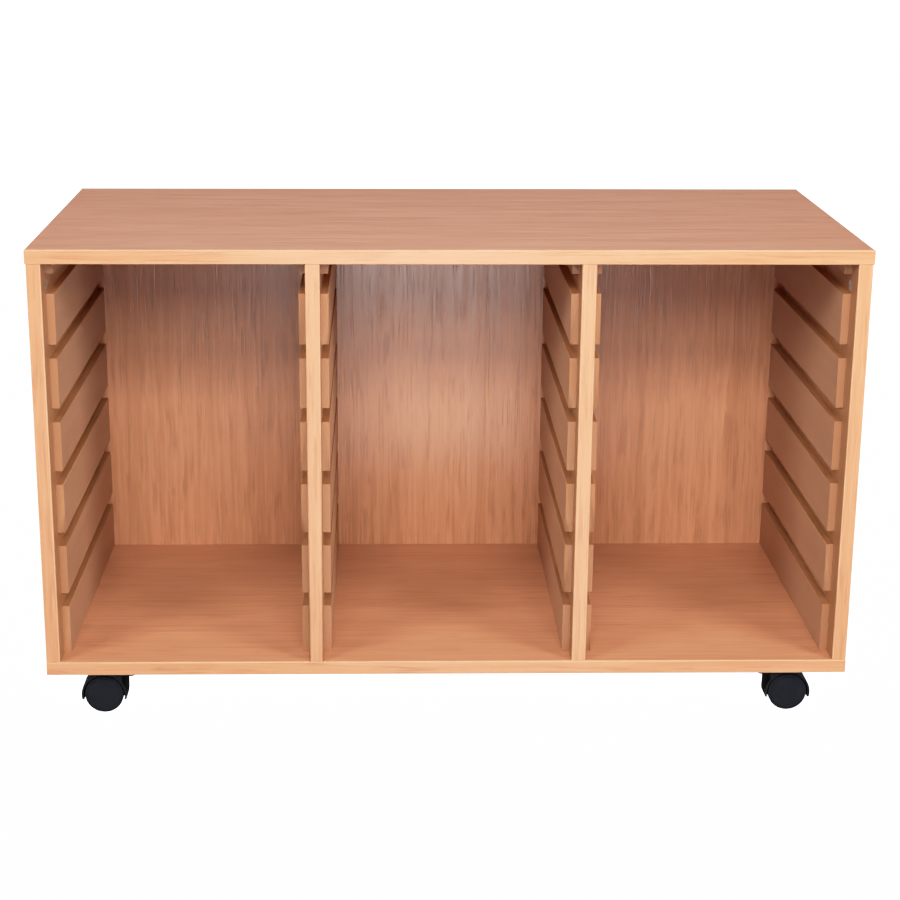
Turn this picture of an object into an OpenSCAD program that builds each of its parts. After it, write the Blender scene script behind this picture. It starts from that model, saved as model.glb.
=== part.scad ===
// Mobile three-bay tray cabinet on swivel castors, with six tray levels in each bay.
// Origin: on the floor, under the middle of the cabinet. +X right, -Y front, +Z up.

/* [Cabinet] */
// Width over the top panel
cabinet_w = 1032; // [950:1:1200]
// Depth over the top panel
cabinet_d = 451; // [400:1:540]
// Thickness of every carcass board
board_t = 18; // [17:0.5:22]
// How far the top panel stands past the case at its front and sides
top_overhang = 1; // [0:0.5:5]
// Thickness of the edging on the boards' visible edges
edging_t = 2; // [1:0.5:3]
// Rounding of the edging's long corners
edging_r = 1.5; // [0.5:0.1:1.5]

/* [Tray runners] */
// Number of tray levels in each bay
tray_levels = 6; // [3:1:7]
// Height of one runner block
runner_h = 64.5; // [50:0.5:90]
// Thickness of the runner blocks and the head strips
runner_t = 9.5; // [6:0.5:14]
// Height of the slot that holds a tray's rim
tray_slot_h = 18; // [12:0.5:24]
// Height of the slot over the highest block
top_slot_h = 25.5; // [25.5:0.5:32]
// Height of the head strip under the top panel
head_strip_h = 18; // [14:0.5:18]
// Set-back of the runners from the front of the case
runner_setback = 32; // [22:1:60]
// Rounding of the runners' long edges
runner_edge_r = 0.6; // [0.2:0.1:1.5]

/* [Cam fittings and dowels] */
// Distance of the cam fittings from the boards' front and back ends
fitting_inset = 37; // [30:1:60]
// Distance of a cam's centre from the end of its board
cam_from_end = 34; // [34:0.5:36]
// Diameter of a cam
cam_d = 15; // [12:0.5:15]
// Board left behind a cam's pocket
cam_floor_t = 4.5; // [3:0.5:6]
// Diameter of the bolt's shank
cam_bolt_d = 6; // [5:0.5:6.5]
// Depth of the bolt's thread in the board that it is screwed into
cam_thread_l = 11; // [8:0.5:12]
// Diameter of a dowel
dowel_d = 8; // [6:0.5:10]
// Length of a dowel
dowel_l = 29; // [24:1:35]
// Depth of a dowel in the face that it is driven into
dowel_face_l = 11.5; // [8:0.5:12.5]
// Distance of the back panel's cam fittings from its top and bottom edges
back_fitting_inset = 100; // [60:5:140]

/* [Castors] */
// Height of a castor from the floor to the cabinet
castor_h = 59; // [59:0.5:66]
// Distance of a swivel axis from the side of the case
castor_from_side = 87.5; // [60:0.5:150]
// Distance of a swivel axis from the front and the back of the case
castor_from_front = 28; // [27:0.5:60]
// Diameter of a castor wheel
wheel_d = 50; // [47:0.5:50]
// Distance from the swivel axis to the wheels' axle
castor_trail = 17.5; // [17:0.5:20]
// Width of the hood over both wheels
hood_w = 26.5; // [24:0.5:34]
// Wall of the hood
hood_t = 2.6; // [1.8:0.1:2.6]
// Gap between the wheels and the hood
wheel_gap = 1.7; // [1.2:0.1:1.8]
// Thickness of the web between the two wheels
web_t = 3.6; // [3:0.2:5]
// How far the hood's tips reach below the axle
hood_tip_drop = 6.5; // [4:0.5:10]
// Diameter of the swivel neck
neck_d = 28; // [24:0.5:30]
// Height of the neck's lower end above the axle
neck_rise = 6; // [2:0.5:8]
// Diameter of the axle
axle_d = 5; // [4:0.5:6]
// Side of the square fixing plate
plate_w = 48; // [47:1:52]
// Thickness of the fixing plate
plate_t = 3; // [2.4:0.1:3]
// Distance between the plate's holes
plate_hole_pitch = 38; // [34:0.5:38]
// Diameter of the kingpin that the castor swivels on
kingpin_d = 7; // [6:0.5:8]
// Length of the kingpin below the plate
kingpin_l = 7.5; // [7:0.1:7.9]
// Diameter of a castor screw's shank
castor_screw_d = 4; // [3:0.5:4.5]
// Length of a castor screw, its head included
castor_screw_l = 15; // [12:0.5:18]

/* [Hidden] */
$fn = 64;
run_clearance = 0.05; // radial clearance of a turning fit
seat_gap = 0.15;      // gap between faces that slide on each other

// Case: the box under the top panel
case_w = cabinet_w - 2 * top_overhang;
case_front = -cabinet_d / 2 + top_overhang;
case_back = cabinet_d / 2;
back_face = case_back - board_t;
runner_pitch = runner_h + tray_slot_h;
inside_h = tray_levels * runner_h + (tray_levels - 1) * tray_slot_h + top_slot_h + head_strip_h;
floor_z = castor_h + board_t;       // upper face of the bottom panel
ceiling_z = floor_z + inside_h;     // lower face of the top panel
side_x = case_w / 2 - board_t / 2;  // middle of a side panel
bay_w = (case_w - 4 * board_t) / 3;
divider_x = bay_w / 2 + board_t / 2; // middle of a divider
bay_pitch = bay_w + board_t;
runner_l = back_face - case_front - runner_setback;
runner_mid_y = back_face - runner_l / 2;

// Fittings
cam_clearance = 0.1;
cam_bore_d = cam_bolt_d + 2;
cam_pocket_l = board_t - cam_floor_t;
cam_l = cam_pocket_l - 1;
cam_slot_w = 1.4;
cam_slot_depth = 1.5;
cam_slot_l = cam_d * 0.6;
cam_head_l = 3;
cam_neck_d = cam_bolt_d - 2.5;
cam_neck_l = 4;
dowel_end_gap = 0.5;
fitting_ys = [case_front + fitting_inset, back_face - fitting_inset];
dowel_y = (fitting_ys[0] + fitting_ys[1]) / 2;
back_mid_y = back_face + board_t / 2;
back_fitting_zs = [floor_z + back_fitting_inset, ceiling_z - back_fitting_inset];

// Castors
wheel_r = wheel_d / 2;
hood_in_r = wheel_r + wheel_gap;
hood_out_r = hood_in_r + hood_t;
plate_z = castor_h - plate_t;
washer_t = 1;
washer_d = kingpin_d + 5;
neck_z = plate_z - washer_t - 2 * seat_gap;
neck_foot_z = wheel_r + neck_rise;
kingpin_z = plate_z - kingpin_l;
ring_t = 1;
ring_z = kingpin_z + 0.8;
ring_grip = 0.6;
screw_head_d = 8;
screw_head_h = 2;
screw_recess_w = 1;
screw_recess_l = 4;
screw_recess_depth = 1.2;
wheel_side_gap = 0.5;
wheel_inner_y = web_t / 2 + wheel_side_gap;
wheel_outer_y = hood_w / 2 - 0.25;
wheel_w = wheel_outer_y - wheel_inner_y;
wheel_wall_t = 2.2;
wheel_rim_t = 3.2;
wheel_hub_r = axle_d / 2 + 3;
wheel_face_r = wheel_r - 3.5;
wheel_groove_w = 0.6;
wheel_groove_depth = 0.4;
wheel_chamfer = 0.9;
axle_end_gap = 0.3;
axle_half_l = wheel_outer_y - wheel_wall_t - axle_end_gap;
swivel_x = case_w / 2 - castor_from_side;
swivel_front_y = case_front + castor_from_front;
swivel_back_y = case_back - castor_from_front;
cut = 1; // how far a cutting shape runs past the face that it opens

// Uprights: middle of the board, and the way that its cams face
uprights = [[-side_x, 1], [-divider_x, -1], [divider_x, 1], [side_x, -1]];
// Castors: side of the cabinet, and the y of the swivel axis
castors = [[-1, swivel_front_y], [1, swivel_front_y], [-1, swivel_back_y], [1, swivel_back_y]];

board_colour = [0.80, 0.58, 0.42];
edging_colour = [0.94, 0.76, 0.58];
runner_colour = [0.74, 0.52, 0.40];
dowel_colour = [0.86, 0.74, 0.56];
zinc_colour = [0.72, 0.72, 0.70];
steel_colour = [0.60, 0.61, 0.63];
plate_colour = [0.12, 0.12, 0.13];
nylon_colour = [0.10, 0.10, 0.11];

// ---- Shared shapes ----

// Section of a bar: t outwards along x, h centred on y, its two outer corners rounded
module bar_section(t, h, r) {
    intersection() {
        translate([0, -h / 2]) square([t, h]);
        union() {
            translate([-r, -h / 2]) square([t, h]);
            translate([-r, r - h / 2]) square([t + r, h - 2 * r]);
            for (y = [r - h / 2, h / 2 - r]) translate([t - r, y]) circle(r);
        }
    }
}

// Level bar that stands out in the direction of angle, centred along its length
module level_bar(l, t, h, r, angle) {
    rotate([90, 0, angle]) translate([0, 0, -l / 2]) linear_extrude(l) bar_section(t, h, r);
}

// Upright bar from z = 0 that stands out in the direction of angle
module upright_bar(l, t, h, r, angle) {
    rotate([0, 0, angle]) linear_extrude(l) bar_section(t, h, r);
}

module block_between(low, high) {
    translate(low) cube(high - low);
}

// ---- Cam fittings and dowels ----
// Local frame of a joint: z = 0 is where the two boards meet, in the middle of the thinner one's
// thickness. +Z runs into the board that takes the thread, +X is the way that the cam faces.

module cam_joint_cuts() {
    translate([0, 0, -cut]) cylinder(d = cam_bolt_d, h = cam_thread_l + cut);
    translate([0, 0, -cam_from_end]) cylinder(d = cam_bore_d, h = cam_from_end + cut);
    translate([board_t / 2 - cam_pocket_l, 0, -cam_from_end])
        rotate([0, 90, 0]) cylinder(d = cam_d, h = cam_pocket_l + cut);
}

module cam() {
    translate([board_t / 2 - cam_l, 0, -cam_from_end]) difference() {
        rotate([0, 90, 0]) cylinder(d = cam_d - 2 * cam_clearance, h = cam_l);
        translate([cam_l - board_t / 2, 0, -cam_head_l]) cylinder(d = cam_bore_d, h = cam_d);
        translate([cam_l - cam_slot_depth, -cam_slot_l / 2, -cam_slot_w / 2])
            cube([cam_slot_depth + cut, cam_slot_l, cam_slot_w]);
        translate([cam_l - cam_slot_depth, -cam_slot_w / 2, -cam_slot_l / 2])
            cube([cam_slot_depth + cut, cam_slot_w, cam_slot_l]);
    }
}

module cam_bolt() {
    head_z = -cam_from_end;
    neck_z = head_z + cam_head_l;
    shank_z = neck_z + cam_neck_l;
    translate([0, 0, head_z]) cylinder(d = cam_bolt_d, h = cam_head_l);
    translate([0, 0, neck_z]) cylinder(d = cam_neck_d, h = cam_neck_l);
    translate([0, 0, shank_z]) cylinder(d = cam_bolt_d, h = cam_thread_l - shank_z);
}

module dowel_cuts() {
    translate([0, 0, dowel_face_l - dowel_l - dowel_end_gap])
        cylinder(d = dowel_d, h = dowel_l + 2 * dowel_end_gap);
}

module dowel() {
    translate([0, 0, dowel_face_l - dowel_l]) cylinder(d = dowel_d, h = dowel_l);
}

// Both ends of one upright: its top, then its foot
module at_upright_ends(upright, y) {
    turn = upright[1] > 0 ? 0 : 180;
    translate([upright[0], y, ceiling_z]) rotate([0, 0, turn]) children();
    translate([upright[0], y, floor_z]) rotate([180, 0, turn]) children();
}

module at_upright_cams(upright) {
    for (y = fitting_ys) at_upright_ends(upright, y) children();
}

module at_upright_dowels(upright) {
    at_upright_ends(upright, dowel_y) children();
}

module at_back_cams(side) {
    for (z = back_fitting_zs) translate([side * (case_w / 2 - board_t), back_mid_y, z])
        rotate([side * 90, 0, 90]) children();
}

module at_back_level_dowels() {
    for (bay = [-1:1]) {
        translate([bay * bay_pitch, back_mid_y, ceiling_z]) children();
        translate([bay * bay_pitch, back_mid_y, floor_z]) rotate([180, 0, 0]) children();
    }
}

module at_divider_back_dowels(side) {
    for (z = back_fitting_zs) translate([side * divider_x, back_face, z])
        rotate([-90, 0, 0]) children();
}

module cams() {
    color(zinc_colour) {
        for (upright = uprights) at_upright_cams(upright) cam();
        for (side = [-1, 1]) at_back_cams(side) cam();
    }
}

module cam_bolts() {
    color(steel_colour) {
        for (upright = uprights) at_upright_cams(upright) cam_bolt();
        for (side = [-1, 1]) at_back_cams(side) cam_bolt();
    }
}

module dowels() {
    color(dowel_colour) {
        for (upright = uprights) at_upright_dowels(upright) dowel();
        for (side = [-1, 1]) at_divider_back_dowels(side) dowel();
        at_back_level_dowels() dowel();
    }
}

// ---- Boards ----

module upright_cuts() {
    for (upright = uprights) {
        at_upright_cams(upright) cam_joint_cuts();
        at_upright_dowels(upright) dowel_cuts();
    }
}

module top_panel() {
    half_w = cabinet_w / 2 - edging_t;
    half_d = cabinet_d / 2 - edging_t;
    color(board_colour) difference() {
        block_between([-half_w, -half_d, ceiling_z], [half_w, half_d, ceiling_z + board_t]);
        upright_cuts();
        at_back_level_dowels() dowel_cuts();
    }
}

module bottom_panel() {
    half_w = case_w / 2 - edging_t;
    color(board_colour) difference() {
        block_between(
            [-half_w, case_front + edging_t, castor_h], [half_w, case_back - edging_t, floor_z]);
        upright_cuts();
        at_back_level_dowels() dowel_cuts();
        at_castors() castor_screw_blanks();
    }
}

module side_panel(upright, side) {
    color(board_colour) difference() {
        block_between(
            [upright[0] - board_t / 2, case_front + edging_t, floor_z],
            [upright[0] + board_t / 2, case_back - edging_t, ceiling_z]);
        at_upright_cams(upright) cam_joint_cuts();
        at_upright_dowels(upright) dowel_cuts();
        at_back_cams(side) cam_joint_cuts();
    }
}

module divider(upright, side) {
    color(board_colour) difference() {
        block_between(
            [upright[0] - board_t / 2, case_front + edging_t, floor_z],
            [upright[0] + board_t / 2, back_face, ceiling_z]);
        at_upright_cams(upright) cam_joint_cuts();
        at_upright_dowels(upright) dowel_cuts();
        at_divider_back_dowels(side) dowel_cuts();
    }
}

module left_side_panel() { side_panel(uprights[0], -1); }
module left_divider() { divider(uprights[1], -1); }
module right_divider() { divider(uprights[2], 1); }
module right_side_panel() { side_panel(uprights[3], 1); }

module back_panel() {
    half_w = case_w / 2 - board_t;
    color(board_colour) difference() {
        block_between([-half_w, back_face, floor_z], [half_w, case_back, ceiling_z]);
        for (side = [-1, 1]) {
            at_back_cams(side) cam_joint_cuts();
            at_divider_back_dowels(side) dowel_cuts();
        }
        at_back_level_dowels() dowel_cuts();
    }
}

// ---- Edging ----

// Edging round all four edges of a level board: the front and back strips run past the side ones
module board_edging(w, front, back, z) {
    for (side = [-1, 1])
        translate([side * (w / 2 - edging_t), (front + back) / 2, z])
            level_bar(
                back - front - 2 * edging_t, edging_t, board_t, edging_r, side > 0 ? 0 : 180);
    translate([0, front + edging_t, z]) level_bar(w, edging_t, board_t, edging_r, -90);
    translate([0, back - edging_t, z]) level_bar(w, edging_t, board_t, edging_r, 90);
}

module top_edging() {
    color(edging_colour)
        board_edging(cabinet_w, -cabinet_d / 2, cabinet_d / 2, ceiling_z + board_t / 2);
}

module bottom_edging() {
    color(edging_colour) board_edging(case_w, case_front, case_back, castor_h + board_t / 2);
}

module upright_front_edging(upright) {
    translate([upright[0], case_front + edging_t, floor_z])
        upright_bar(inside_h, edging_t, board_t, edging_r, -90);
}

module side_edging(upright) {
    color(edging_colour) {
        upright_front_edging(upright);
        translate([upright[0], case_back - edging_t, floor_z])
            upright_bar(inside_h, edging_t, board_t, edging_r, 90);
    }
}

module left_side_edging() { side_edging(uprights[0]); }
module right_side_edging() { side_edging(uprights[3]); }
module left_divider_edging() { color(edging_colour) upright_front_edging(uprights[1]); }
module right_divider_edging() { color(edging_colour) upright_front_edging(uprights[2]); }

// ---- Tray runners ----

// One runner bar on the wall of a bay: bay is -1, 0 or 1, wall is -1 for the bay's left wall
module bay_bar(bay, wall, z, h) {
    translate([bay * bay_pitch + wall * bay_w / 2, runner_mid_y, z + h / 2])
        level_bar(runner_l, runner_t, h, runner_edge_r, wall < 0 ? 0 : 180);
}

module runners(bay, wall) {
    color(runner_colour)
        for (level = [0:tray_levels - 1])
            bay_bar(bay, wall, floor_z + level * runner_pitch, runner_h);
}

module head_strip(bay, wall) {
    color(runner_colour) bay_bar(bay, wall, ceiling_z - head_strip_h, head_strip_h);
}

// ---- Castors ----
// Local frame of a castor: the swivel axis is the z axis, z = 0 is the floor, the wheels trail to +X

module at_castor(castor) {
    translate([castor[0] * swivel_x, castor[1], 0])
        mirror([castor[0] < 0 ? 1 : 0, 0, 0]) children();
}

module at_castors() {
    for (castor = castors) at_castor(castor) children();
}

module at_plate_holes() {
    for (x = [-1, 1], y = [-1, 1])
        translate([x * plate_hole_pitch / 2, y * plate_hole_pitch / 2, 0]) children();
}

// Square with round corners, by its half side
module rounded_square(half, r) {
    square([2 * half - 2 * r, 2 * half], center = true);
    square([2 * half, 2 * half - 2 * r], center = true);
    for (x = [-1, 1], y = [-1, 1]) translate([x * (half - r), y * (half - r)]) circle(r);
}

module castor_plate(castor) {
    corner_r = 4;
    color(plate_colour) at_castor(castor) difference() {
        translate([0, 0, plate_z]) linear_extrude(plate_t) rounded_square(plate_w / 2, corner_r);
        translate([0, 0, plate_z - cut]) cylinder(d = kingpin_d, h = plate_t + 2 * cut);
        castor_screw_blanks();
    }
}

// The four screws of a plate without their recesses: heads countersunk into the plate
module castor_screw_blanks() {
    at_plate_holes() translate([0, 0, plate_z]) {
        cylinder(d1 = screw_head_d, d2 = castor_screw_d, h = screw_head_h);
        cylinder(d = castor_screw_d, h = castor_screw_l);
    }
}

module castor_screws() {
    color(steel_colour) at_castors() difference() {
        castor_screw_blanks();
        at_plate_holes() for (turn = [0, 90]) rotate([0, 0, turn])
            translate([-screw_recess_l / 2, -screw_recess_w / 2, plate_z - cut])
                cube([screw_recess_l, screw_recess_w, screw_recess_depth + cut]);
    }
}

module castor_kingpins() {
    color(steel_colour) at_castors() difference() {
        translate([0, 0, kingpin_z]) cylinder(d = kingpin_d, h = kingpin_l + plate_t);
        translate([0, 0, ring_z]) difference() {
            cylinder(d = kingpin_d + 2 * cut, h = ring_t);
            translate([0, 0, -cut])
                cylinder(d = kingpin_d - 2 * ring_grip, h = ring_t + 2 * cut);
        }
    }
}

module castor_snap_rings() {
    color(steel_colour) at_castors() translate([0, 0, ring_z]) difference() {
        cylinder(d = kingpin_d + 2 * ring_grip, h = ring_t);
        translate([0, 0, -cut]) cylinder(d = kingpin_d - 2 * ring_grip, h = ring_t + 2 * cut);
    }
}

module castor_thrust_washers() {
    color(steel_colour) at_castors() translate([0, 0, neck_z + seat_gap]) difference() {
        cylinder(d = washer_d, h = washer_t);
        translate([0, 0, -cut])
            cylinder(d = kingpin_d + 2 * run_clearance, h = washer_t + 2 * cut);
    }
}

// Cylinder along y on the axle, centred on the web
module axle_disc(r, w) {
    translate([castor_trail, 0, wheel_r]) rotate([90, 0, 0])
        cylinder(r = r, h = w, center = true);
}

// The part of the hood that lies above its tips
module above_tips() {
    tip_z = wheel_r - hood_tip_drop;
    intersection() {
        children();
        block_between(
            [-castor_h, -hood_w, tip_z], [castor_trail + castor_h, hood_w, neck_z]);
    }
}

// Arched cover, web, and the neck that the kingpin turns in
module castor_hood(castor) {
    color(nylon_colour) at_castor(castor) difference() {
        union() {
            above_tips() difference() {
                union() {
                    axle_disc(hood_out_r, hood_w);
                    translate([0, 0, neck_foot_z]) cylinder(d = neck_d, h = neck_z - neck_foot_z);
                }
                axle_disc(hood_in_r, neck_d + hood_w);
            }
            above_tips() axle_disc(hood_in_r + hood_t / 2, web_t);
            axle_disc(wheel_hub_r + 2, web_t);
        }
        axle_disc(axle_d / 2, hood_w);
        translate([0, 0, kingpin_z - seat_gap])
            cylinder(d = kingpin_d + 2 * run_clearance, h = kingpin_l + cut);
        translate([0, 0, ring_z - seat_gap])
            cylinder(d = kingpin_d + 2 * ring_grip + 2 * seat_gap, h = ring_t + 2 * seat_gap);
    }
}

module castor_axle(castor) {
    color(steel_colour) at_castor(castor) axle_disc(axle_d / 2, 2 * axle_half_l);
}

// One wheel: a cup with a hub, its closed face away from the web
module wheel_section() {
    bore_r = axle_d / 2 + run_clearance;
    wall_y = wheel_w - wheel_wall_t;
    groove_r = wheel_face_r + wheel_groove_w;
    rim_y = wheel_w - wheel_groove_depth / 2;
    polygon([
        [bore_r, 0], [wheel_hub_r, 0], [wheel_hub_r, wall_y], [wheel_r - wheel_rim_t, wall_y],
        [wheel_r - wheel_rim_t, 0], [wheel_r - wheel_chamfer, 0], [wheel_r, wheel_chamfer],
        [wheel_r, rim_y - wheel_chamfer], [wheel_r - wheel_chamfer, rim_y], [groove_r, rim_y],
        [groove_r, wheel_w - wheel_groove_depth], [wheel_face_r, wheel_w - wheel_groove_depth],
        [wheel_face_r, wheel_w], [0, wheel_w], [0, wall_y], [bore_r, wall_y]
    ]);
}

// side is -1 for the wheel nearer the cabinet's front, 1 for the one behind it
module castor_wheel(castor, side) {
    color(nylon_colour) at_castor(castor)
        translate([castor_trail, side * wheel_inner_y, wheel_r])
            rotate([side < 0 ? 90 : -90, 0, 0]) rotate_extrude() wheel_section();
}

top_panel();
bottom_panel();
left_side_panel();
right_side_panel();
left_divider();
right_divider();
back_panel();
top_edging();
bottom_edging();
left_side_edging();
right_side_edging();
left_divider_edging();
right_divider_edging();
runners(-1, -1);  // left_bay_left_runners
runners(-1, 1);  // left_bay_right_runners
runners(0, -1);  // middle_bay_left_runners
runners(0, 1);  // middle_bay_right_runners
runners(1, -1);  // right_bay_left_runners
runners(1, 1);  // right_bay_right_runners
head_strip(-1, -1);  // left_bay_left_head_strip
head_strip(-1, 1);  // left_bay_right_head_strip
head_strip(0, -1);  // middle_bay_left_head_strip
head_strip(0, 1);  // middle_bay_right_head_strip
head_strip(1, -1);  // right_bay_left_head_strip
head_strip(1, 1);  // right_bay_right_head_strip
cams();
cam_bolts();
dowels();
castor_plate(castors[0]);  // front_left_castor_plate
castor_plate(castors[1]);  // front_right_castor_plate
castor_plate(castors[2]);  // rear_left_castor_plate
castor_plate(castors[3]);  // rear_right_castor_plate
castor_hood(castors[0]);  // front_left_castor_hood
castor_hood(castors[1]);  // front_right_castor_hood
castor_hood(castors[2]);  // rear_left_castor_hood
castor_hood(castors[3]);  // rear_right_castor_hood
castor_axle(castors[0]);  // front_left_castor_axle
castor_axle(castors[1]);  // front_right_castor_axle
castor_axle(castors[2]);  // rear_left_castor_axle
castor_axle(castors[3]);  // rear_right_castor_axle
castor_wheel(castors[0], -1);  // front_left_castor_wheel_front
castor_wheel(castors[0], 1);  // front_left_castor_wheel_back
castor_wheel(castors[1], -1);  // front_right_castor_wheel_front
castor_wheel(castors[1], 1);  // front_right_castor_wheel_back
castor_wheel(castors[2], -1);  // rear_left_castor_wheel_front
castor_wheel(castors[2], 1);  // rear_left_castor_wheel_back
castor_wheel(castors[3], -1);  // rear_right_castor_wheel_front
castor_wheel(castors[3], 1);  // rear_right_castor_wheel_back
castor_kingpins();
castor_thrust_washers();
castor_snap_rings();
castor_screws();
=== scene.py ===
import math

import bmesh
import bpy
from mathutils import Matrix, Vector


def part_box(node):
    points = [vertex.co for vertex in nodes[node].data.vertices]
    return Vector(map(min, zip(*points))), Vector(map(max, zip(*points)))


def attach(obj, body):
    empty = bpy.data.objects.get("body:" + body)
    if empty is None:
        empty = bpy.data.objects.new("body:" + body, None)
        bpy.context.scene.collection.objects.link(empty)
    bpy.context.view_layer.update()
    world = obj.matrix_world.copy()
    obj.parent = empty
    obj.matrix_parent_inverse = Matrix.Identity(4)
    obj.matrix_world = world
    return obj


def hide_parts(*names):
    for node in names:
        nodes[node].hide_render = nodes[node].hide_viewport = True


# Mobile three-bay tray cabinet: the finish of its boards, edging, runners and castors.
# Metres. +X right, -Y front, +Z up, the origin on the floor under the middle of the cabinet.
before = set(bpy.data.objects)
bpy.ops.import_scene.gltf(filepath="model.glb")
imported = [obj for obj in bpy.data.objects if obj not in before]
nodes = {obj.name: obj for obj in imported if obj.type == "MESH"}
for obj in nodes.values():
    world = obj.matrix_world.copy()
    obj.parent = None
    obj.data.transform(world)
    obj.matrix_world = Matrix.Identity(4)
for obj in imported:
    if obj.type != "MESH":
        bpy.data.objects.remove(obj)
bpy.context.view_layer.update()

# ---- Camera, solved from the cabinet's edges in the photograph (900 x 900 pixels) ----
PHOTO_SIDE = 900
FOCAL_PIXELS = 1851.948
CENTRE_PIXEL = (419.539, 383.877)  # where the lens axis meets the picture
SENSOR_MM = 36
CAMERA_X = -0.08196                # from the cabinet's middle
CAMERA_IN_FRONT = 2.2010           # in front of the case's front
CAMERA_ABOVE = 0.9979              # above the case's underside
YAW, PITCH, ROLL = 0.020016, -0.270068, 0.004647


def make_camera():
    case_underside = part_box("bottom_edging")[0]
    right = Vector((math.cos(YAW), -math.sin(YAW), 0))
    ahead = Vector((math.sin(YAW), math.cos(YAW), 0))
    up = Vector((0, 0, 1))
    look = ahead * math.cos(PITCH) + up * math.sin(PITCH)
    head = up * math.cos(PITCH) - ahead * math.sin(PITCH)
    side = right * math.cos(ROLL) + head * math.sin(ROLL)
    head = head * math.cos(ROLL) - right * math.sin(ROLL)
    data = bpy.data.cameras.new("camera")
    data.sensor_width = SENSOR_MM
    data.lens = FOCAL_PIXELS / PHOTO_SIDE * SENSOR_MM
    data.shift_x = 0.5 - CENTRE_PIXEL[0] / PHOTO_SIDE
    data.shift_y = CENTRE_PIXEL[1] / PHOTO_SIDE - 0.5
    camera = bpy.data.objects.new("camera", data)
    turn = Matrix((side, head, -look)).transposed().to_4x4()
    place = Vector((CAMERA_X, case_underside.y - CAMERA_IN_FRONT, case_underside.z + CAMERA_ABOVE))
    camera.matrix_world = Matrix.Translation(place) @ turn
    bpy.context.scene.collection.objects.link(camera)
    bpy.context.scene.camera = camera


# ---- Floor and light ----
FLOOR_SIDE = 40
FLOOR_COLOUR = (0.40, 0.40, 0.40, 1)
FLOOR_ROUGHNESS = 0.9
FLOOR_SPECULAR = 0.1
FLOOR_LIFT = 2.2      # whitens the floor where the camera sees it
STUDIO_SEEN = 2.3     # the white studio round the cabinet, where the camera sees it
STUDIO_FILL = 0.08    # and the soft light that it gives
# The camera's response: even up to middle tones, then rolled off to white at twice full light
RESPONSE_WHITE = 2.0
RESPONSE = [(0.1, 0.2), (0.2, 0.4), (0.25, 0.495), (0.3, 0.58), (0.4, 0.7), (0.59, 0.87), (0.8, 0.98),
            (1.0, 1.0)]
# Soft boxes: name, place, width, height, watts
SOFT_BOXES = [
    ("front_soft_box", (0, -2.9, 2.2), 2.0, 0.45, 70),
    ("front_low_soft_box", (0, -3.1, 1.7), 2.0, 0.45, 36),
    ("left_soft_box", (-2.3, -2.1, 2.2), 1.0, 0.9, 65),
    ("left_low_soft_box", (-2.4, -2.3, 1.0), 1.0, 0.9, 5.5),
    ("right_soft_box", (2.3, -2.1, 2.2), 1.0, 0.9, 53),
    ("right_low_soft_box", (2.4, -2.3, 1.0), 1.0, 0.9, 43),
    ("back_soft_box", (0, 2.6, 3.0), 2.6, 1.4, 43),
]
SOFT_BOX_AIM = (0, 0, 0.35)
# Bright strips of floor in front, mirrored in the cabinet's satin faces: name, place, width, length, watts
MIRRORED_STRIPS = [
    ("near_strip", (0.045, -0.80, 0.004), 0.42, 0.8, 3.5),
    ("middle_strip", (0.03, -1.9, 0.004), 0.5, 1.2, 5.4),
    ("far_strip", (0.0, -3.0, 0.004), 0.55, 0.9, 62),
]


def stage_paint():
    grey = bpy.data.materials.new("floor_paint")
    grey.use_nodes = True
    tree = grey.node_tree
    shader = tree.nodes["Principled BSDF"]
    shader.inputs["Base Color"].default_value = FLOOR_COLOUR
    shader.inputs["Roughness"].default_value = FLOOR_ROUGHNESS
    shader.inputs["Specular IOR Level"].default_value = FLOOR_SPECULAR
    shader.inputs["Emission Color"].default_value = (1, 1, 1, 1)
    ray = tree.nodes.new("ShaderNodeLightPath")
    lift = tree.nodes.new("ShaderNodeMath")
    lift.operation = "MULTIPLY"
    lift.inputs[1].default_value = FLOOR_LIFT
    tree.links.new(ray.outputs["Is Camera Ray"], lift.inputs[0])
    tree.links.new(lift.outputs[0], shader.inputs["Emission Strength"])
    return grey


def make_floor():
    shape = bmesh.new()
    bmesh.ops.create_grid(shape, x_segments=1, y_segments=1, size=FLOOR_SIDE / 2)
    mesh = bpy.data.meshes.new("floor")
    shape.to_mesh(mesh)
    shape.free()
    floor = bpy.data.objects.new("floor", mesh)
    bpy.context.scene.collection.objects.link(floor)
    mesh.materials.append(stage_paint())


def make_soft_light(name, place, aim, width, height, watts):
    data = bpy.data.lights.new(name, "AREA")
    data.shape = "RECTANGLE"
    data.size = width
    data.size_y = height
    data.energy = watts
    light = bpy.data.objects.new(name, data)
    light.location = place
    light.rotation_euler = (Vector(aim) - Vector(place)).to_track_quat("-Z", "Y").to_euler()
    light.visible_camera = False
    bpy.context.scene.collection.objects.link(light)
    return light


def make_lights():
    # Only the box behind is mirrored, so the satin top doesn't glare when it is seen from behind
    for name, place, width, height, watts in SOFT_BOXES:
        light = make_soft_light(name, place, SOFT_BOX_AIM, width, height, watts)
        light.visible_glossy = name == "back_soft_box"
    for name, place, width, length, watts in MIRRORED_STRIPS:
        above = Vector(place) + Vector((0, 0, 1))
        make_soft_light(name, place, above, width, length, watts).visible_diffuse = False


def make_studio():
    """White all round: bright where the camera sees it, faint as a light."""
    world = bpy.data.worlds.new("studio")
    world.use_nodes = True
    tree = world.node_tree
    background = tree.nodes["Background"]
    background.inputs["Color"].default_value = (1, 1, 1, 1)
    ray = tree.nodes.new("ShaderNodeLightPath")
    strength = tree.nodes.new("ShaderNodeMapRange")
    strength.inputs["To Min"].default_value = STUDIO_FILL
    strength.inputs["To Max"].default_value = STUDIO_SEEN
    tree.links.new(ray.outputs["Is Camera Ray"], strength.inputs["Value"])
    tree.links.new(strength.outputs[0], background.inputs["Strength"])
    bpy.context.scene.world = world


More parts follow.
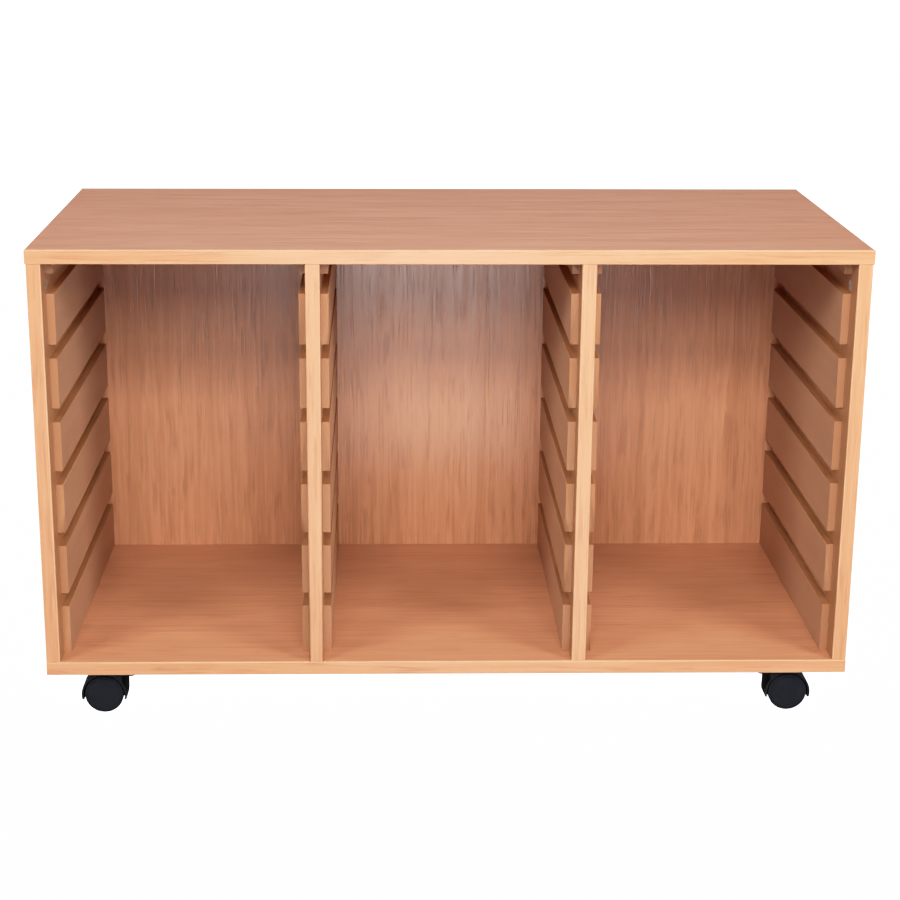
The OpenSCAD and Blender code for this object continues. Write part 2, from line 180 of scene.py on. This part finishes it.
def set_camera_response():
    view = bpy.context.scene.view_settings
    view.view_transform = "Standard"
    view.use_curve_mapping = True
    view.curve_mapping.white_level = [RESPONSE_WHITE] * 3
    curve = view.curve_mapping.curves[3]  # the one over all three colours
    curve.points[0].location = (0, 0)
    curve.points[1].location = RESPONSE[-1]
    for x, y in RESPONSE[:-1]:
        curve.points.new(x, y)
    view.curve_mapping.update()


# ---- Materials ----
GRAIN_X, GRAIN_Y, GRAIN_Z = 0, 1, 2
SAWN_END = (0.42, 0.187, 0.087)    # the front ends of the runners
SHADED_INNER_WALL = (0.365, 0.16, 0.07)   # painted shade on the walls beside the runners
PATCH_FADE = (0.0001, 0.0006)      # a patch of another colour ends between these distances past its edge
# Features of the grain: cells per metre along it and across it
SWAY, BANDS, STREAKS, HAIRS = (13, 30), (1.2, 42), (5, 150), (12, 480)
PORE_CONTOUR, PORE_BREAKS = (4, 150), (16, 60)
SWAY_WIDTH = 0.005
HAIR_SHARE = 0.5                   # the hairs' weight in the tone, where the streaks have 1
TONE_SPREAD = 0.42                 # from the middle tone to the light or the dark one
PORE_LINE = [(0.42, (0, 0, 0)), (0.5, (1, 1, 1)), (0.58, (0, 0, 0))]
PORE_GAPS = (0.38, 0.62)           # of the breaks' noise: no line below, a full line above
PORE_TONE = 0.75                   # times the dark tone
HAIR_RELIEF, PORE_RELIEF = 0.25, -1.2
MOST_NOISE = (0.3, 0.7)            # most of a noise's values lie between these
# Cells per metre, the same along every axis
TARNISH, METAL_GRAIN = [160] * 3, [1400] * 3
SKIN_CLOUDS, SKIN_GRAIN = [60] * 3, [2600] * 3


class Finish:
    """One material under construction: adds shader nodes and links them."""

    def __init__(self, name, roughness, specular=0.5):
        self.material = bpy.data.materials.new(name)
        self.material.use_nodes = True
        self.tree = self.material.node_tree
        self.shader = self.tree.nodes["Principled BSDF"]
        self.roughness = roughness
        self.shader.inputs["Roughness"].default_value = roughness
        self.shader.inputs["Specular IOR Level"].default_value = specular
        self.place = self.add("ShaderNodeTexCoord").outputs["Object"]

    def add(self, kind, **settings):
        node = self.tree.nodes.new(kind)
        for key, value in settings.items():
            setattr(node, key, value)
        return node

    def link(self, a, b):
        self.tree.links.new(a, b)

    def noise(self, scale, detail=2.0, rough=0.5, twist=0.0, shift=(0, 0, 0)):
        """Noise with a size of its own along each axis: scale is in cells per metre."""
        mapping = self.add("ShaderNodeMapping")
        mapping.inputs["Scale"].default_value = scale
        mapping.inputs["Location"].default_value = shift
        self.link(self.place, mapping.inputs["Vector"])
        noise = self.add("ShaderNodeTexNoise")
        noise.inputs["Scale"].default_value = 1.0
        noise.inputs["Detail"].default_value = detail
        noise.inputs["Roughness"].default_value = rough
        noise.inputs["Distortion"].default_value = twist
        self.link(mapping.outputs[0], noise.inputs["Vector"])
        return noise.outputs["Fac"]

    def sway(self, grain, amount):
        """From here on the grain wanders sideways by about the amount, in metres."""
        mapping = self.add("ShaderNodeMapping")
        mapping.inputs["Scale"].default_value = stretched(SWAY, grain)
        self.link(self.place, mapping.inputs["Vector"])
        noise = self.add("ShaderNodeTexNoise")
        noise.inputs["Scale"].default_value = 1.0
        self.link(mapping.outputs[0], noise.inputs["Vector"])
        moved = self.add("ShaderNodeVectorMath", operation="MULTIPLY_ADD")
        self.link(noise.outputs["Color"], moved.inputs[0])
        moved.inputs[1].default_value = (amount, amount, amount)
        self.link(self.place, moved.inputs[2])
        self.place = moved.outputs[0]

    def ramp(self, value, low, high, to_low=0.0, to_high=1.0):
        """Value from low..high to to_low..to_high, eased at both ends."""
        node = self.add("ShaderNodeMapRange", interpolation_type="SMOOTHSTEP")
        node.inputs["From Min"].default_value = low
        node.inputs["From Max"].default_value = high
        node.inputs["To Min"].default_value = to_low
        node.inputs["To Max"].default_value = to_high
        self.link(value, node.inputs["Value"])
        return node.outputs["Result"]

    def along(self, axis):
        """How far along the axis, X, Y or Z, in metres."""
        split = self.add("ShaderNodeSeparateXYZ")
        self.link(self.place, split.inputs[0])
        return split.outputs[axis]

    def patch_up_to(self, distance, limit):
        """1 up to the limit, falling to 0 just past it."""
        return self.ramp(distance, limit + PATCH_FADE[0], limit + PATCH_FADE[1], 1, 0)

    def share_before(self, y):
        """1 in front of y, and 0 behind it."""
        return self.patch_up_to(self.along("Y"), y)

    def share_within(self, x):
        """1 nearer the middle than x on either side, and 0 outside it."""
        away = self.add("ShaderNodeMath", operation="ABSOLUTE")
        self.link(self.along("X"), away.inputs[0])
        return self.patch_up_to(away.outputs[0], x)

    def sum(self, a, b, share):
        """a + b * share"""
        node = self.add("ShaderNodeMath", operation="MULTIPLY_ADD")
        self.link(b, node.inputs[0])
        node.inputs[1].default_value = share
        self.link(a, node.inputs[2])
        return node.outputs[0]

    def tones(self, value, stops):
        """Colour ramp: stops are (position, colour)."""
        node = self.add("ShaderNodeValToRGB")
        points = node.color_ramp.elements
        while len(points) < len(stops):
            points.new(0.5)
        for point, (position, colour) in zip(points, stops):
            point.position = position
            point.color = (*colour, 1)
        self.link(value, node.inputs["Fac"])
        return node.outputs["Color"]

    def cover(self, colour, share, cover_colour):
        """The cover's colour over the other one, by the share."""
        node = self.add("ShaderNodeMix", data_type="RGBA")
        self.link(share, node.inputs["Factor"])
        under, over = [socket for socket in node.inputs if socket.type == "RGBA"]
        self.link(colour, under)
        over.default_value = (*cover_colour, 1)
        return [socket for socket in node.outputs if socket.type == "RGBA"][0]

    def vary_roughness(self, value, less, more):
        """Smoother where the value is low and rougher where it is high."""
        varied = self.ramp(value, *MOST_NOISE, self.roughness - less, self.roughness + more)
        self.link(varied, self.shader.inputs["Roughness"])

    def bump(self, height, depth, strength=1.0):
        """Depth in metres for a change of 1 in height."""
        node = self.add("ShaderNodeBump")
        node.inputs["Distance"].default_value = depth
        node.inputs["Strength"].default_value = strength
        self.link(height, node.inputs["Height"])
        self.link(node.outputs["Normal"], self.shader.inputs["Normal"])


def stretched(cells, grain):
    """Cells per metre for each axis: few along the grain, many across it."""
    along, across = cells
    scale = [across] * 3
    scale[grain] = along
    return scale


def wavy_pores(finish, grain, seed, shift):
    """Thin wavy lines along the grain, broken into dashes."""
    contour = finish.noise(stretched(PORE_CONTOUR, grain), detail=1, shift=(seed, seed, seed + 7))
    line = finish.tones(contour, PORE_LINE)
    broken = finish.ramp(finish.noise(stretched(PORE_BREAKS, grain), shift=shift), *PORE_GAPS)
    pore = finish.add("ShaderNodeMath", operation="MULTIPLY")
    finish.link(line, pore.inputs[0])
    finish.link(broken, pore.inputs[1])
    return pore.outputs[0]


def beech(name, grain, light, middle, dark, roughness=0.34, specular=0.5, contrast=1.0, bands=0.5,
          relief=0.0001, pores=0.5, seed=0.0, patch=None):
    """Printed beech: soft bands, streaks and lines of pores along the grain, pressed in as a relief.
    A patch gives another colour to part of it, and each seed another stretch of grain."""
    finish = Finish(name, roughness, specular)
    patched = patch(finish) if patch else None
    finish.sway(grain, SWAY_WIDTH)
    shift = (seed, seed * 1.7, seed * 2.3)
    band = finish.noise(stretched(BANDS, grain), twist=0.3, shift=shift)
    streaks = finish.noise(stretched(STREAKS, grain), detail=3, rough=0.6, twist=0.3, shift=shift)
    hairs = finish.noise(stretched(HAIRS, grain), rough=0.6, twist=0.2, shift=shift)
    tone = finish.sum(finish.sum(streaks, band, bands), hairs, HAIR_SHARE)
    middle_tone = 0.5 * (1 + HAIR_SHARE + bands)
    half = TONE_SPREAD / contrast
    colour = finish.tones(finish.ramp(tone, middle_tone - half, middle_tone + half),
                          [(0.0, dark), (0.5, middle), (1.0, light)])
    if patched:
        colour = finish.cover(colour, *patched)
    pore = wavy_pores(finish, grain, seed, shift)
    darkened = finish.ramp(pore, 0, 1, 0, pores)
    colour = finish.cover(colour, darkened, tuple(part * PORE_TONE for part in dark))
    finish.link(colour, finish.shader.inputs["Base Color"])
    finish.vary_roughness(streaks, less=0.03, more=0.05)
    finish.bump(finish.sum(finish.sum(streaks, hairs, HAIR_RELIEF), pore, PORE_RELIEF), depth=relief)
    return finish.material


def metal(name, colour, dark, roughness):
    """Plated metal with a fine cloudy tarnish."""
    finish = Finish(name, roughness)
    finish.shader.inputs["Metallic"].default_value = 1.0
    cloud = finish.noise(TARNISH, detail=4, rough=0.6)
    finish.link(finish.tones(cloud, [(0.3, dark), (0.7, colour)]), finish.shader.inputs["Base Color"])
    finish.vary_roughness(cloud, less=0.08, more=0.1)
    finish.bump(finish.noise(METAL_GRAIN), depth=0.00002, strength=0.4)
    return finish.material


def grained_skin(name, colour, dull, roughness, specular):
    """Moulded plastic or paint with a fine grained skin, dull in clouds."""
    finish = Finish(name, roughness, specular)
    cloud = finish.noise(SKIN_CLOUDS, detail=3)
    finish.link(finish.tones(cloud, [(0.35, colour), (0.7, dull)]), finish.shader.inputs["Base Color"])
    skin = finish.noise(SKIN_GRAIN, rough=0.6)
    finish.vary_roughness(skin, less=0.06, more=0.08)
    finish.bump(skin, depth=0.00003, strength=0.35)
    return finish.material


def paint(material, *names):
    """Gives the named CAD nodes one material."""
    for name in names:
        slots = nodes[name].data.materials
        slots.clear()
        slots.append(material)


# ---- The finishes: each beech has a light, a middle and a dark tone ----
BOARD = dict(light=(0.70, 0.318, 0.175), middle=(0.627, 0.273, 0.145), dark=(0.51, 0.205, 0.102))
TOP_BOARD = dict(light=(0.69, 0.318, 0.194), middle=(0.617, 0.273, 0.161), dark=(0.50, 0.205, 0.113))
BACK_BOARD = dict(light=(0.725, 0.343, 0.177), middle=(0.655, 0.300, 0.152), dark=(0.54, 0.230, 0.109))
FLOOR_BOARD = dict(light=(0.663, 0.302, 0.160), middle=(0.590, 0.254, 0.130), dark=(0.459, 0.184, 0.086))
EDGE = dict(light=(0.67, 0.290, 0.152), middle=(0.62, 0.252, 0.126), dark=(0.545, 0.211, 0.099))
# Painted highlight: the paler tone of the edging's rounded corners
HIGHLIT_EDGE = dict(light=(0.72, 0.37, 0.21), middle=(0.68, 0.33, 0.18), dark=(0.62, 0.28, 0.145))
RUNNER = dict(light=(0.48, 0.261, 0.156), middle=(0.434, 0.228, 0.132), dark=(0.367, 0.182, 0.099))
RUNNER_EDGE = dict(light=(0.44, 0.192, 0.082), middle=(0.40, 0.170, 0.071), dark=(0.35, 0.143, 0.057))
# Painted highlight: the paler tone of the runners' rounded front corner
RUNNER_HIGHLIGHT = dict(light=(0.62, 0.34, 0.20), middle=(0.58, 0.30, 0.17), dark=(0.52, 0.26, 0.14))
DOWEL = dict(light=(0.75, 0.60, 0.40), middle=(0.68, 0.52, 0.33), dark=(0.60, 0.44, 0.26))
ZINC = dict(colour=(0.86, 0.82, 0.76), dark=(0.66, 0.62, 0.56), roughness=0.6)
STEEL = dict(colour=(0.60, 0.61, 0.63), dark=(0.45, 0.46, 0.48), roughness=0.3)
BLACK_PAINT = dict(colour=(0.004, 0.004, 0.0045), dull=(0.006, 0.006, 0.0065),
                   roughness=0.5, specular=0.1)
# The hood's body: black nylon, darkened further as painted shade
SHADED_BLACK_NYLON = dict(colour=(0.0012, 0.0014, 0.0016), dull=(0.0020, 0.0022, 0.0025),
                   roughness=0.45, specular=0.06)
# The hood's front and back rims, lighter: a painted highlight
HIGHLIT_NYLON = dict(colour=(0.006, 0.0064, 0.0074), dull=(0.0085, 0.009, 0.0105),
                    roughness=0.4, specular=0.2)
GREY_NYLON = dict(colour=(0.0064, 0.0070, 0.0105), dull=(0.0088, 0.0094, 0.0128),
                  roughness=0.46, specular=0.2)


def finish_boards():
    paint(beech("beech_top", GRAIN_X, **TOP_BOARD, contrast=0.7, bands=0.2, pores=0.3), "top_panel")
    paint(beech("beech_floor", GRAIN_X, **FLOOR_BOARD, contrast=0.7, bands=0.4, relief=0.00004, pores=0.3,
                seed=2.2), "bottom_panel")
    paint(beech("beech_back", GRAIN_Z, **BACK_BOARD, roughness=0.25, bands=0.7, relief=0.00008, pores=0.5,
                seed=3.1), "back_panel")
    inner_x = -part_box("left_side_panel")[1].x
    # The walls' inner faces take a darker colour: painted shade inside the case, not another board
    paint(beech("beech_wall", GRAIN_Z, **BOARD, seed=4.7,
                patch=lambda finish: (finish.share_within(inner_x), SHADED_INNER_WALL)),
          "left_side_panel", "right_side_panel", "left_divider", "right_divider")
    paint(beech("dowel_wood", GRAIN_Z, **DOWEL), "dowels")


def finish_fittings():
    paint(metal("cam_zinc", **ZINC), "cams")
    paint(metal("plated_steel", **STEEL),
          "cam_bolts", "castor_kingpins", "castor_thrust_washers", "castor_snap_rings", "castor_screws",
          *[name for name in nodes if name.endswith("_axle")])
    paint(grained_skin("black_paint", **BLACK_PAINT), *[name for name in nodes if name.endswith("_plate")])


# ---- Pieces that stand in for CAD nodes ----
MERGE = 0.00001          # points nearer than this become one
FLAT = math.radians(1)   # faces that meet within this angle become one
SHARP = math.radians(40)
SQUARE = 0.9995          # a face this near to an axis belongs to a flat side, not to a rounded corner
LEVEL = 0.5              # a face that faces up or down by more than this is a top or an underside
RUNNER_SANDING = 0.0016
HOOD_ROUNDING = 0.0006
HOOD_NECK = 0.004        # what lies this near to the hood's top stays sharp
HOOD_SHORTEST = 0.0004   # and so do shorter edges than this
HOOD_HIGHLIT_TURN = 0.3   # a face that faces front or back by more than this can take the painted highlight
HOOD_HIGHLIT_FROM = 0.9   # of the way from the middle of the hood to its front or back
WHEEL_WALL = 0.0022      # the closed face of a wheel
WHEEL_RIM = 0.0032
WHEEL_HUB_R = 0.0055
WHEEL_BORE_R = 0.00255
WHEEL_FACE_INSET = 0.0035
WHEEL_GROOVE = 0.0006
WHEEL_GROOVE_DEPTH = 0.0005
WHEEL_SHOULDER = 0.0014
SHOULDER_STEPS = 5
WHEEL_CHAMFER = (0.0003, 0.0002)   # of the face's edge: inwards, and along the axle
WHEEL_FACE_FLAT = 0.002            # from the face's edge in to the start of the dish
WHEEL_DISH = 0.0004
DISH_POINTS = [(0.6, 0.8), (0.3, 1), (0, 1)]   # shares of the face's radius and of the dish's depth
WHEEL_TURN_STEPS = 72


def new_piece(name, shape, body, finishes, rounded):
    """The finished shape as an object that rides on a body."""
    mesh = bpy.data.meshes.new(name)
    shape.to_mesh(mesh)
    shape.free()
    for finish in finishes:
        mesh.materials.append(finish)
    if rounded:
        mesh.shade_smooth()
        mesh.set_sharp_from_angle(angle=SHARP)
    piece = bpy.data.objects.new(name, mesh)
    bpy.context.scene.collection.objects.link(piece)
    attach(piece, body)
    return piece


def merged_copy(node):
    """A CAD node's mesh with its loose triangles joined into whole faces."""
    shape = bmesh.new()
    shape.from_mesh(nodes[node].data)
    bmesh.ops.remove_doubles(shape, verts=shape.verts, dist=MERGE)
    bmesh.ops.dissolve_limit(shape, angle_limit=FLAT, verts=shape.verts, edges=shape.edges)
    return shape


def lipped_edging(node, side_finish, highlight_finish):
    """Flat sides, and rounded corners painted paler as a highlight."""
    shape = merged_copy(node)
    for face in shape.faces:
        face.material_index = 0 if max(abs(part) for part in face.normal) > SQUARE else 1
    piece = new_piece(node + "_strip", shape, "cabinet", [side_finish, highlight_finish], False)
    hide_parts(node)


def sanded_runners(node, side_finish, sawn_finish, highlight_finish):
    """Runners or a head strip: sawn edges, and the front corner on the tray's side sanded round and
    painted paler as a highlight.
    """
    shape = merged_copy(node)
    low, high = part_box(node)
    tray_side = high.x if "_left_" in node[node.index("_bay"):] else low.x
    for face in shape.faces:
        face.material_index = 1 if abs(face.normal.z) > LEVEL else 0
    corners = [edge for edge in shape.edges
               if all(abs(vert.co.y - low.y) < MERGE and abs(vert.co.x - tray_side) < MERGE
                      for vert in edge.verts)]
    bevel = bmesh.ops.bevel(shape, geom=corners, offset=RUNNER_SANDING, offset_type="OFFSET",
                            affect="EDGES", segments=2, profile=0.5, material=-1, clamp_overlap=True)
    for face in bevel["faces"]:
        face.material_index = 2
    piece = new_piece(node + "_strip", shape, "cabinet",
                      [side_finish, sawn_finish, highlight_finish], False)
    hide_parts(node)


def make_strips():
    for grain, grain_name, names in (
            (GRAIN_X, "level", ["top_edging", "bottom_edging"]),
            (GRAIN_Z, "upright", ["left_side_edging", "right_side_edging",
                                  "left_divider_edging", "right_divider_edging"])):
        side = beech("beech_edging_" + grain_name, grain, **EDGE, contrast=1.1, seed=1.3)
        # The corners' paler finish is a painted highlight
        highlight = beech("highlit_edging_" + grain_name, grain, **HIGHLIT_EDGE, roughness=0.28)
        for name in names:
            lipped_edging(name, side, highlight)
    end_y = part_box("left_bay_left_runners")[0].y
    side = beech("beech_runner", GRAIN_Y, **RUNNER, specular=0.3, roughness=0.45, contrast=0.45, pores=0.1,
                 relief=0.00003, seed=5.2, patch=lambda finish: (finish.share_before(end_y), SAWN_END))
    sawn = beech("sawn_runner", GRAIN_Y, **RUNNER_EDGE, specular=0.1, roughness=0.6, relief=0.00006,
                 seed=6.4)
    # The rounded corner's paler finish is a painted highlight
    highlight = beech("highlit_runner_corner", GRAIN_Z, **RUNNER_HIGHLIGHT, specular=0.3, roughness=0.45)
    for name in nodes:
        if name.endswith("_runners") or name.endswith("_head_strip"):
            sanded_runners(name, side, sawn, highlight)


def moulded_hood(node, skin, highlit_skin):
    """The hood with the soft outer edges of a moulding, and its front and back rims painted lighter as a
    highlight.
    """
    shape = merged_copy(node)
    low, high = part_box(node)
    neck = high.z - HOOD_NECK
    outer = [edge for edge in shape.edges
             if edge.is_convex and edge.calc_face_angle() > SHARP and edge.calc_length() > HOOD_SHORTEST
             and max(vert.co.z for vert in edge.verts) < neck
             and min(abs(vert.co.y - side) for vert in edge.verts for side in (low.y, high.y)) < MERGE]
    bmesh.ops.bevel(shape, geom=outer, offset=HOOD_ROUNDING, offset_type="OFFSET", affect="EDGES",
                    segments=3, profile=0.5, material=-1, clamp_overlap=True)
    for face in shape.faces:
        out = abs(face.calc_center_median().y - (low.y + high.y) / 2) * 2 / (high.y - low.y)
        highlit = abs(face.normal.y) > HOOD_HIGHLIT_TURN and out > HOOD_HIGHLIT_FROM
        face.material_index = 1 if highlit else 0
    piece = new_piece(node + "_moulding", shape, node.replace("_hood", "_swivel"),
                      [skin, highlit_skin], True)
    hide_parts(node)


def quarter(r, y, size, start):
    """Points of a quarter turn round (r, y), from the angle start."""
    angles = [start + math.pi / 2 * step / SHOULDER_STEPS for step in range(SHOULDER_STEPS + 1)]
    return [(r + size * math.cos(angle), y + size * math.sin(angle)) for angle in angles]


def spun_wheel(node, finish):
    """One wheel: a cup turned round its axle, closed on the side away from the hood's web."""
    low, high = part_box(node)
    axle = (low + high) / 2
    radius = (high.z - low.z) / 2
    width = high.y - low.y
    outward = -1 if node.endswith("_front") else 1
    open_y = high.y if outward < 0 else low.y
    wall = width - WHEEL_WALL
    face_r = radius - WHEEL_FACE_INSET
    groove_r = face_r + WHEEL_GROOVE
    rim_y = width - WHEEL_GROOVE_DEPTH / 2
    groove_y = width - WHEEL_GROOVE_DEPTH * 2
    section = [
        (0, wall), (WHEEL_BORE_R, wall), (WHEEL_BORE_R, 0), (WHEEL_HUB_R, 0), (WHEEL_HUB_R, wall),
        (radius - WHEEL_RIM, wall), (radius - WHEEL_RIM, 0),
        *quarter(radius - WHEEL_SHOULDER, WHEEL_SHOULDER, WHEEL_SHOULDER, -math.pi / 2),
        *quarter(radius - WHEEL_SHOULDER, rim_y - WHEEL_SHOULDER, WHEEL_SHOULDER, 0),
        (groove_r, rim_y), (groove_r, groove_y), (face_r, groove_y),
        (face_r, width - WHEEL_CHAMFER[1]), (face_r - WHEEL_CHAMFER[0], width),
        (face_r - WHEEL_FACE_FLAT, width),
        *[(face_r * reach, width - WHEEL_DISH * depth) for reach, depth in DISH_POINTS]]
    shape = bmesh.new()
    points = [shape.verts.new((axle.x + r, open_y + outward * y, axle.z)) for r, y in section]
    edges = [shape.edges.new(pair) for pair in zip(points, points[1:])]
    bmesh.ops.spin(shape, geom=points + edges, cent=(axle.x, open_y, axle.z), axis=(0, 1, 0),
                   dvec=(0, 0, 0), angle=2 * math.pi, steps=WHEEL_TURN_STEPS, use_merge=True,
                   use_duplicate=False)
    bmesh.ops.remove_doubles(shape, verts=shape.verts, dist=MERGE)
    bmesh.ops.recalc_face_normals(shape, faces=shape.faces)
    piece = new_piece(node + "_turning", shape, node, [finish], True)
    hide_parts(node)


def make_castors():
    # The hood gets a painted-shade black body and painted-highlight rims
    black = grained_skin("black_nylon", **SHADED_BLACK_NYLON)
    highlit_skin = grained_skin("highlit_black_nylon", **HIGHLIT_NYLON)
    grey = grained_skin("dark_grey_nylon", **GREY_NYLON)
    for name in nodes:
        if name.endswith("_hood"):
            moulded_hood(name, black, highlit_skin)
        elif "_wheel_" in name:
            spun_wheel(name, grey)


finish_boards()
finish_fittings()
make_strips()
make_castors()
make_floor()
make_lights()
make_studio()
set_camera_response()
make_camera()
